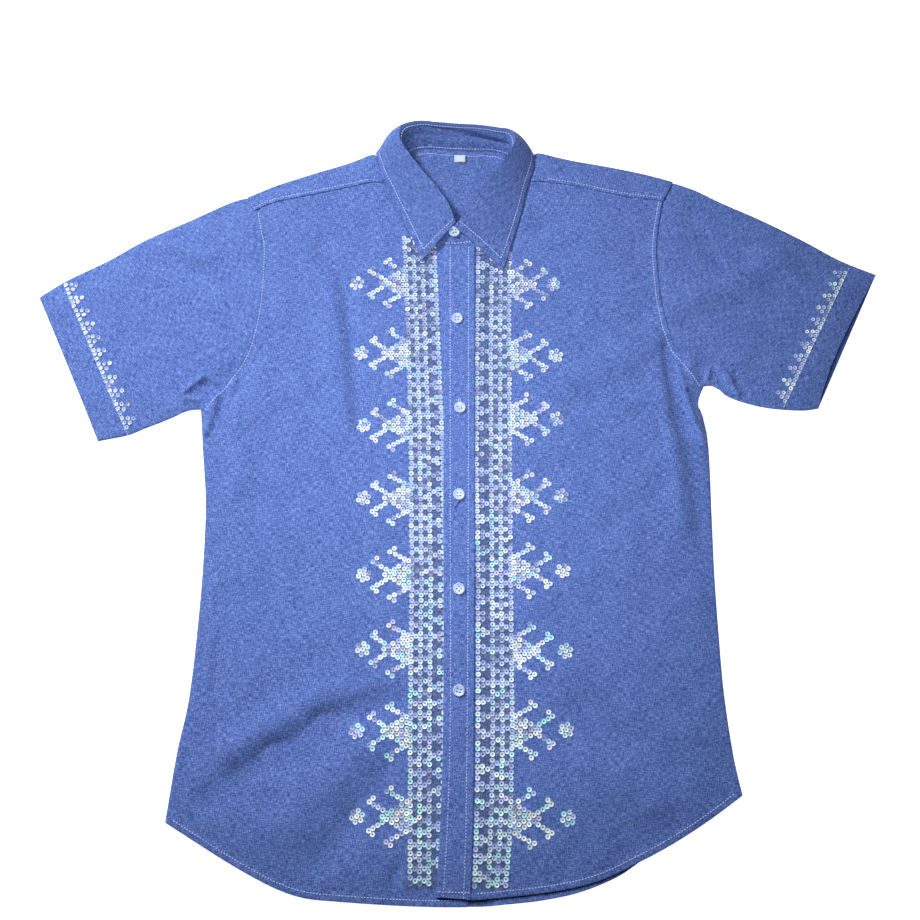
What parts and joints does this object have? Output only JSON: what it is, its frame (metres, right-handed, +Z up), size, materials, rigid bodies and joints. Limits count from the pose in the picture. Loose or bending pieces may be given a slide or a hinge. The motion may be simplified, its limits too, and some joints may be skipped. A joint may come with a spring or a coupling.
{
  "type": "short-sleeved button-front shirt, laid flat",
  "caption": "Short-sleeved chambray shirt with sequin bands beside the placket, laid flat on its back with the collar turned down.",
  "frame": {"origin": "on the surface that the shirt lies on, under the centre front, on the back panel's flat underside", "axes": "+X to the wearer's left, +Y from the hem to the collar, +Z up from the surface"},
  "size_m": [0.8685, 0.7833, 0.0265],
  "materials": {
    "cloth": "matte blue chambray, white weft",
    "button": "pale blue, satin gloss",
    "label": "smooth woven tape",
    "thread": "white sewing thread",
    "sequin": "clear iridescent"
  },
  "bodies": {
    "root": {"back": "cloth", "yoke": "cloth", "front_right": "cloth", "front_left": "cloth", "placket": "cloth", "sleeve_right": "cloth", "sleeve_left": "cloth", "collar_stand": "cloth", "collar_leaf": "cloth", "button_1": "button", "button_2": "button", "button_3": "button", "button_4": "button", "button_5": "button", "button_6": "button", "label": "label"}
  },
  "joints": []
}
